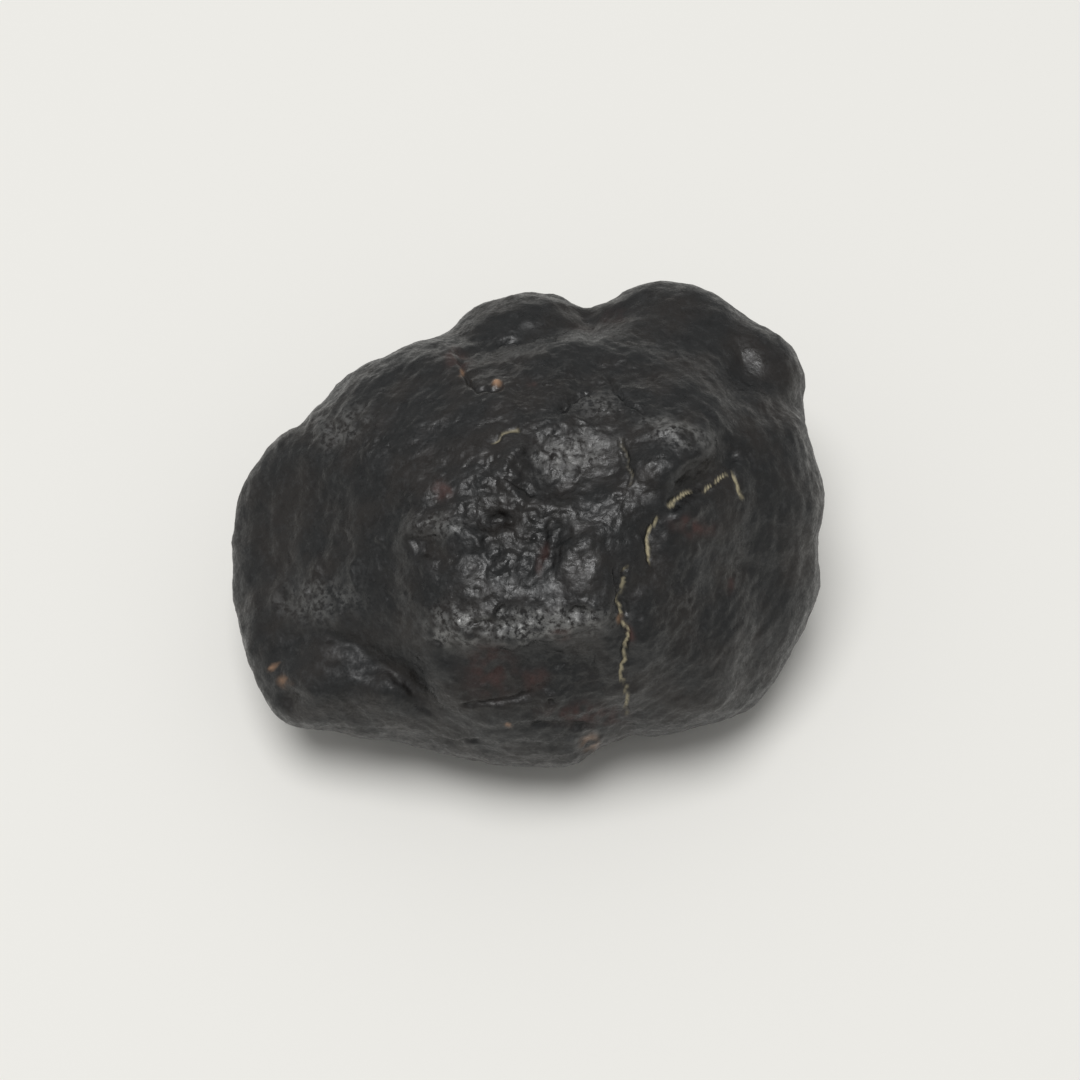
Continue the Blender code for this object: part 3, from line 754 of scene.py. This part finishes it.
# %% [markdown]
# ## Small drawn forms
# A few pits, knobs and stripes are easy to find on the real stone. Random grain would never put them in the
# right place, so they are drawn one by one, as small dents and bumps.

# %% Pits, knobs and stripes of the best side
# Place on the board, half sizes, turn, height, steepness.
SMALL_FORMS = {
    "round pit": ((-4.1, -14.8), (0.9, 0.9), 0.0, -1.0, 2.0),
    "pit below the arc": ((-16.3, -2.7), (1.5, 0.9), 0.0, -0.4, 1.5),
    "middle pit": ((-3.9, 1.2), (1.3, 0.9), 0.0, -0.3, 1.5),
    "ring's pit": ((26.0, 18.2), (1.0, 0.8), 0.0, -0.5, 2.0),
    "ring's knob": ((26.0, 18.2), (0.45, 0.4), 0.0, 0.5, 1.0),
    "ear's pit": ((36.9, -6.8), (1.6, 1.3), -30.0, -0.7, 1.5),
    "left speck": ((-25.2, -2.4), (0.7, 0.7), 0.0, 0.5, 1.0),
    "stripe 1": ((-42.2, -2.6), (0.7, 2.4), 0.0, 0.45, 1.0),
    "stripe 2": ((-29.2, -8.2), (0.6, 2.6), -5.0, 0.5, 1.0),
    "stripe 3": ((-35.7, -7.7), (0.7, 1.9), 0.0, 0.45, 1.0),
    "stripe 4": ((-37.4, -11.4), (0.6, 2.2), 0.0, 0.4, 1.0),
    "stripe 5": ((-42.8, -12.8), (0.7, 2.6), -8.0, 0.5, 1.0),
    "foot pit": ((-40.8, -29.8), (1.7, 1.4), 0.0, -0.8, 1.5),
    "knob": ((12.2, 20.4), (2.4, 2.0), 0.0, 0.5, 1.5),
    "hollow in the crest": ((8.8, -15.3), (2.6, 0.9), 8.0, -0.7, 1.5),
    "speck on the right": ((28.7, -4.6), (0.5, 0.9), 10.0, 0.4, 1.0),
    "crumb in the scar": ((-5.3, 23.6), (0.8, 0.6), 0.0, 0.5, 1.0),
}

for values in SMALL_FORMS.values():
    small += seen * dent(crack_x, crack_y, *values)
print("small drawn forms", len(SMALL_FORMS))

# %% Lift the small relief off the skin
def point_normals(points, quads):
    """Outward unit normals: each quad's crossed diagonals, summed at its four corners."""
    a, b, c, d = (points[quads[:, k]] for k in range(4))
    cross = np.cross(c - a, d - b)
    total = np.stack([sum(np.bincount(quads[:, k], cross[:, axis], len(points)) for k in range(4))
                      for axis in range(3)], axis=1)
    return unit(total)


skin = points + point_normals(points, quads) * small[:, None]
# What reaches below the ground is slid back along its ray, which leaves the flat that the stone rests on.
low = skin[:, 2] < FOOT_LEVEL
skin[low] *= (FOOT_LEVEL / skin[low, 2])[:, None]
stone_points = (skin - GROUND_SHIFT) * MM
print("points on the ground", int(low.sum()))

# %% [markdown]
# ## Colour patches
#  Rust shows as dull brown-red patches, a few flakes are tan, and edges are rubbed through to grey iron.
#  Those grey patches are also laid where the crust shines, so they partly paint a highlight. An image
#  wrapped round the stone could hold them, but where they lie is stored more simply in point attributes,
#  which the material reads. Noise in space breaks their edges up.

# %% Rust and tan
# Place on the board, half sizes, turn, amount, steepness.
RUST = {
    "notch": ((12.2, 36.2), (5.0, 2.2), 0.0, 0.8, 1.5),
    "scar's left": ((-12.0, 28.2), (2.0, 1.8), 0.0, 0.7, 1.5),
    "dot": ((0.7, 24.1), (0.6, 0.7), 0.0, 0.9, 1.5),
    "dull spot": ((-14.5, 5.6), (1.8, 1.5), 0.0, 0.8, 1.5),
    "flake by the hollow": ((28.4, -0.6), (3.6, 1.4), -10.0, 0.9, 1.5),
    "front face": ((-6.5, -24.7), (4.2, 4.2), 0.0, 0.7, 1.5),
    "face middle": ((1.2, -26.4), (2.2, 2.0), 0.0, 0.7, 1.5),
    "lip": ((9.7, -32.6), (6.5, 1.8), 0.0, 0.8, 1.5),
    "crack": ((17.3, -19.0), (0.8, 1.7), 0.0, 1.0, 1.5),
    "middle streak": ((2.6, -6.0), (0.8, 2.4), -10.0, 0.8, 1.5),
    "right dot": ((34.5, -10.5), (0.7, 1.4), 0.0, 0.6, 1.5),
    "brow's edge": ((6.0, -18.9), (1.4, 0.9), 0.0, 0.8, 1.5),
}
TAN = {
    "tip by the scar": ((-11.4, 25.8), (0.5, 0.8), 0.0, 1.0, 1.5),
    "toe spot": ((-43.0, -24.5), (0.9, 0.5), 20.0, 1.0, 1.5),
    "toe stain": ((-41.1, -26.9), (1.1, 0.9), -30.0, 0.5, 1.5),
    "crumb in the scar": ((-5.3, 23.6), (0.8, 0.6), 0.0, 1.0, 1.5),
    "lip crust": ((10.5, -37.2), (1.4, 1.3), 0.0, 0.6, 1.5),
    "lip crumb": ((-3.1, -34.7), (0.5, 0.5), 0.0, 0.8, 1.5),
    "crack's upper end": ((16.0, -16.0), (0.6, 0.7), 0.0, 1.0, 1.5),
}
print("patches of rust and tan", len(RUST) + len(TAN))

# %% Bare iron with painted highlight, and soot
#  Edges where the crust is rubbed through to grey iron. The same patches lie on the crest, bowl, brow and
#  knob where the crust shines most, so their grey is also a painted highlight.
WORN_AND_HIGHLIGHT = {
    "crest": ((-1.0, -17.6), (15.0, 2.9), 5.0, 1.0, 2.0),
    "crest's left": ((-12.5, -17.2), (5.0, 3.2), 15.0, 0.9, 1.5),
    "arc": ((-15.5, -0.4), (4.5, 1.8), 0.0, 0.6, 1.5),
    "bowl": ((7.5, 12.0), (7.0, 4.0), 15.0, 0.45, 1.5),
    "brow of the dome": ((25.0, 15.4), (6.0, 2.0), -15.0, 0.8, 1.5),
    "knob": ((12.0, 20.4), (3.5, 2.4), 0.0, 0.4, 1.5),
    "upper left": ((-31.0, 16.5), (5.0, 2.6), 35.0, 0.45, 1.5),
    "left stripes": ((-35.5, -13.0), (7.0, 4.0), 0.0, 0.35, 1.5),
    "lip tip": ((10.5, -36.5), (3.0, 2.0), 0.0, 0.4, 1.5),
}
# Sooty places with hardly any shine.
MATTE = {
    "toe and shelf": ((-30.0, -24.0), (13.0, 9.0), -10.0, 1.0, 2.0),
    "front face": ((2.0, -27.0), (15.0, 7.0), 0.0, 0.6, 2.0),
    "right front": ((25.0, -16.0), (7.0, 13.0), 0.0, 0.5, 2.0),
    "left side": ((-43.0, 2.0), (7.0, 14.0), 0.0, 0.5, 2.0),
    "right side": ((44.0, 6.0), (7.0, 20.0), 0.0, 0.5, 2.0),
}
print("patches of iron and soot", len(WORN_AND_HIGHLIGHT) + len(MATTE))

# %% The patches at each point
# Noise that breaks the edges: its size, the stretch of it that lets a patch through, and its seed.
EDGE_LUMPS = 1.8
EDGE_STRETCH = (-0.6, 0.3)
EDGE_SEED = 80
# Rust of the hidden side, which is all noise.
HIDDEN_RUST = 0.8
HIDDEN_RUST_LUMPS = 14.0
HIDDEN_RUST_STRETCH = (0.35, 0.65)
HIDDEN_RUST_SEED = 81

broken = rise(grain(points, EDGE_LUMPS, EDGE_SEED), *EDGE_STRETCH)


def patches(table):
    """The strongest of some ovals at each point, with broken edges."""
    amount = np.zeros(len(points))
    for values in table.values():
        amount = np.maximum(amount, dent(crack_x, crack_y, *values))
    return seen * amount * broken


hidden_rust = rise(grain(points, HIDDEN_RUST_LUMPS, HIDDEN_RUST_SEED), *HIDDEN_RUST_STRETCH)
rust = np.maximum(patches(RUST), (1.0 - seen) * hidden_rust * HIDDEN_RUST)
tan = patches(TAN)
matte = patches(MATTE)
# Grey iron patches, which also paint the highlight along the crest, the bowl and the dome's brow.
worn_and_highlight = patches(WORN_AND_HIGHLIGHT)
print("points with rust", int((rust > 0.3).sum()), "and tan", int((tan > 0.3).sum()))

# %% Mesh of the stone
mesh = bpy.data.meshes.new("meteorite_skin")
mesh.vertices.add(len(stone_points))
mesh.vertices.foreach_set("co", stone_points.astype(np.float32).ravel())
mesh.loops.add(quads.size)
mesh.loops.foreach_set("vertex_index", quads.ravel().astype(np.int32))
mesh.polygons.add(len(quads))
mesh.polygons.foreach_set("loop_start", np.arange(0, quads.size, 4, dtype=np.int32))
mesh.update(calc_edges=True)
mesh.shade_smooth()
looks = {"rust": rust, "tan": tan, "filling": filling, "rough": rough, "matte": matte, "worn_and_highlight": worn_and_highlight}
for name, values in looks.items():
    attribute = mesh.attributes.new(name, "FLOAT", "POINT")
    attribute.data.foreach_set("value", values.astype(np.float32))
stone = bpy.data.objects.new("meteorite_skin", mesh)
bpy.context.scene.collection.objects.link(stone)
print("triangles", 2 * len(mesh.polygons), "valid", not mesh.validate())

# %% [markdown]
# ## The crust's finish
#  Fusion crust is a near-black glassy oxide with a satin shine. It isn't one colour: it runs from blue-grey
#  to brown-black, rust lies in patches, edges are rubbed to bare iron, and pale earth fills the cracks. The
#  bare iron patches also lie where the crust shines, so part of their light grey is a painted highlight. One
#  colour with one roughness would look like plastic. So noise changes the colour and the shine over each
#  millimetre, which makes the rough parts glitter.
#
# All patterns read the stone's own coordinates, in metres, so they stay on it from every side.

# %% The crust material and helpers for its nodes
crust = bpy.data.materials.new("iron_crust")
crust.use_nodes = True
tree = crust.node_tree
shader = tree.nodes["Principled BSDF"]
place_node = tree.nodes.new("ShaderNodeTexCoord")
# A Mix node has sockets for every type. These are the numbers of the ones for colour.
MIX_COLOURS = (6, 7)
MIX_RESULT = 2


def plug(socket, value):
    """Links an output to the socket, or sets the socket to a plain value."""
    if isinstance(value, bpy.types.NodeSocket):
        tree.links.new(value, socket)
    else:
        socket.default_value = value


def noise(size, detail, roughness):
    """Noise from 0 to 1 with lumps of a size in millimetres."""
    node = tree.nodes.new("ShaderNodeTexNoise")
    tree.links.new(place_node.outputs["Object"], node.inputs["Vector"])
    node.inputs["Scale"].default_value = 1.0 / (size * MM)
    node.inputs["Detail"].default_value = detail
    node.inputs["Roughness"].default_value = roughness
    return node.outputs["Fac"]


def stored(name):
    """A point attribute of the mesh."""
    node = tree.nodes.new("ShaderNodeAttribute")
    node.attribute_name = name
    return node.outputs["Fac"]


def between(value, low, high, to_low=0.0, to_high=1.0):
    """Carries low to to_low and high to to_high, evenly between them, and stops at its ends."""
    node = tree.nodes.new("ShaderNodeMapRange")
    for name, number in (("Value", value), ("From Min", low), ("From Max", high),
                         ("To Min", to_low), ("To Max", to_high)):
        plug(node.inputs[name], number)
    return node.outputs["Result"]


def maths(operation, a, b):
    """The sum or the product of two values."""
    node = tree.nodes.new("ShaderNodeMath")
    node.operation = operation
    plug(node.inputs[0], a)
    plug(node.inputs[1], b)
    return node.outputs[0]


def blended(factor, a, b):
    """Colour a at factor 0, colour b at factor 1."""
    node = tree.nodes.new("ShaderNodeMix")
    node.data_type = "RGBA"
    plug(node.inputs["Factor"], factor)
    plug(node.inputs[MIX_COLOURS[0]], a)
    plug(node.inputs[MIX_COLOURS[1]], b)
    return node.outputs[MIX_RESULT]


print("material", crust.name)

# %% Colour
BLACK_CRUST = (0.006, 0.0065, 0.007, 1.0)
BROWN_CRUST = (0.011, 0.009, 0.008, 1.0)
GREY_CRUST = (0.035, 0.036, 0.037, 1.0)
RUST_RED = (0.052, 0.022, 0.019, 1.0)
# The grey of bare iron, which also serves as a painted highlight on the bright bands.
BARE_IRON_AND_HIGHLIGHT = (0.26, 0.26, 0.255, 1.0)
TAN_FLAKE = (0.34, 0.20, 0.12, 1.0)
PALE_EARTH = (0.42, 0.37, 0.24, 1.0)

# Each noise's size in millimetres, detail and roughness, and the stretch of it that brings the colour in.
BROWN_NOISE = (9.0, 4.0, 0.55)
BROWN_STRETCH = (0.42, 0.62)
GREY_NOISE = (1.4, 6.0, 0.7)
GREY_STRETCH = (0.52, 0.72)
GREY_SHARE = 0.6
WORN_HIGHLIGHT_NOISE = (0.9, 4.0, 0.65)
WORN_HIGHLIGHT_STRETCH = (0.42, 0.58)
RUST_NOISE = (1.2, 4.0, 0.55)
RUST_STRETCH = (0.3, 0.6)
EARTH_NOISE = (0.8, 4.0, 0.55)
EARTH_STRETCH = (0.3, 0.5)
# Rust and earth cover at least this much of their patches.
LEAST_COVER = 0.4

colour = blended(between(noise(*BROWN_NOISE), *BROWN_STRETCH), BLACK_CRUST, BROWN_CRUST)
grey = maths("MULTIPLY", between(noise(*GREY_NOISE), *GREY_STRETCH), GREY_SHARE)
colour = blended(grey, colour, GREY_CRUST)
# Rubbed iron patches, also a painted highlight: lighter grey and metallic where the crust shines.
bare_iron_and_highlight = maths("MULTIPLY", stored("worn_and_highlight"), between(noise(*WORN_HIGHLIGHT_NOISE), *WORN_HIGHLIGHT_STRETCH))
colour = blended(bare_iron_and_highlight, colour, BARE_IRON_AND_HIGHLIGHT)
rusty = maths("MULTIPLY", stored("rust"), between(noise(*RUST_NOISE), *RUST_STRETCH, LEAST_COVER))
colour = blended(rusty, colour, RUST_RED)
colour = blended(stored("tan"), colour, TAN_FLAKE)
earthy = maths("MULTIPLY", stored("filling"), between(noise(*EARTH_NOISE), *EARTH_STRETCH, LEAST_COVER))
colour = blended(earthy, colour, PALE_EARTH)
plug(shader.inputs["Base Color"], colour)
plug(shader.inputs["Metallic"], bare_iron_and_highlight)
print("nodes for the colour", len(tree.nodes))

# %% Shine
SPECULAR = 0.5
# Broad noise sets the roughness, and fine noise moves it up and down.
DULL_NOISE = (2.2, 5.0, 0.65)
DULL_STRETCH = (0.35, 0.65)
DULL_RANGE = (0.30, 0.54)
GLITTER_NOISE = (0.45, 2.0, 0.55)
GLITTER_STRETCH = (0.4, 0.6)
GLITTER_SWING = (-0.06, 0.08)
# How much rougher rust and earth are, and soot.
RUST_DULLS = 0.25
SOOT_DULLS = 0.22

dull = between(noise(*DULL_NOISE), *DULL_STRETCH, *DULL_RANGE)
dull = maths("ADD", dull, between(noise(*GLITTER_NOISE), *GLITTER_STRETCH, *GLITTER_SWING))
dirt = maths("ADD", stored("rust"), stored("filling"))
dull = maths("ADD", dull, maths("MULTIPLY", dirt, RUST_DULLS))
dull = maths("ADD", dull, maths("MULTIPLY", stored("matte"), SOOT_DULLS))
plug(shader.inputs["Roughness"], dull)
shader.inputs["Specular IOR Level"].default_value = SPECULAR
print("nodes with the shine", len(tree.nodes))

# %% Grain of a millimetre and less
BUMP_NOISE = (1.1, 3.0, 0.5)
BUMP_HEIGHT = 0.30
# The bumps grow stronger as the relief grows rougher.
BUMP_STRETCH = (0.1, 1.0)
BUMP_STRENGTH = (0.40, 1.0)

bumps = noise(*BUMP_NOISE)
bump = tree.nodes.new("ShaderNodeBump")
bump.inputs["Distance"].default_value = BUMP_HEIGHT * MM
plug(bump.inputs["Strength"], between(stored("rough"), *BUMP_STRETCH, *BUMP_STRENGTH))
plug(bump.inputs["Height"], bumps)
plug(shader.inputs["Normal"], bump.outputs["Normal"])
mesh.materials.append(crust)
print("material nodes", len(tree.nodes))

# %% [markdown]
# ## Floor and light
# A pale sheet lies under one wide soft light nearly overhead, a little to the front left, in pale
# surroundings. A lamp from behind would shine more, but its shadows would be too long. The satin crust shows
# the light where it faces up, and the steep front mirrors the floor and stays dark.

# %% Floor
FLOOR_HALF = 2.5
FLOOR_COLOUR = (0.86, 0.85, 0.815, 1.0)
FLOOR_ROUGHNESS = 0.9
FLOOR_SPECULAR = 0.2

floor_mesh = bpy.data.meshes.new("floor")
floor_mesh.from_pydata([(-FLOOR_HALF, -FLOOR_HALF, 0.0), (FLOOR_HALF, -FLOOR_HALF, 0.0),
                        (FLOOR_HALF, FLOOR_HALF, 0.0), (-FLOOR_HALF, FLOOR_HALF, 0.0)], [], [(0, 1, 2, 3)])
floor = bpy.data.objects.new("floor", floor_mesh)
bpy.context.scene.collection.objects.link(floor)
paper = bpy.data.materials.new("pale_paper")
paper.use_nodes = True
paper_inputs = paper.node_tree.nodes["Principled BSDF"].inputs
paper_inputs["Base Color"].default_value = FLOOR_COLOUR
paper_inputs["Roughness"].default_value = FLOOR_ROUGHNESS
paper_inputs["Specular IOR Level"].default_value = FLOOR_SPECULAR
floor_mesh.materials.append(paper)
print("floor", 2.0 * FLOOR_HALF, "m wide")

# %% Light and surroundings
LIGHT_AZIMUTH = -160.0
LIGHT_ELEVATION = 83.0
LIGHT_DISTANCE = 3.0
LIGHT_WIDTH = 1.8
LIGHT_RADIANCE = 7.6
SURROUNDINGS = (0.36, 0.36, 0.355, 1.0)

lamp = bpy.data.objects.new("soft_light", bpy.data.lights.new("soft_light", "AREA"))
lamp.data.shape = "DISK"
lamp.data.size = LIGHT_WIDTH
# A disk's power is pi times its radiance times its area.
lamp.data.energy = LIGHT_RADIANCE * math.pi * math.pi * (LIGHT_WIDTH / 2.0) ** 2
lamp_way = Vector(facing(LIGHT_AZIMUTH, LIGHT_ELEVATION))
lamp.location = lamp_way * LIGHT_DISTANCE
lamp.rotation_mode = "QUATERNION"
lamp.rotation_quaternion = (-lamp_way).to_track_quat("-Z", "Y")
bpy.context.scene.collection.objects.link(lamp)

world = bpy.data.worlds.new("pale_room")
world.use_nodes = True
world.node_tree.nodes["Background"].inputs["Color"].default_value = SURROUNDINGS
bpy.context.scene.world = world
bpy.context.scene.view_settings.view_transform = "Standard"
print("lamp power", round(lamp.data.energy, 1), "W")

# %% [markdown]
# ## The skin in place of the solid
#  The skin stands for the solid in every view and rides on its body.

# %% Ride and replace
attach(stone, "root")
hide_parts("meteorite")
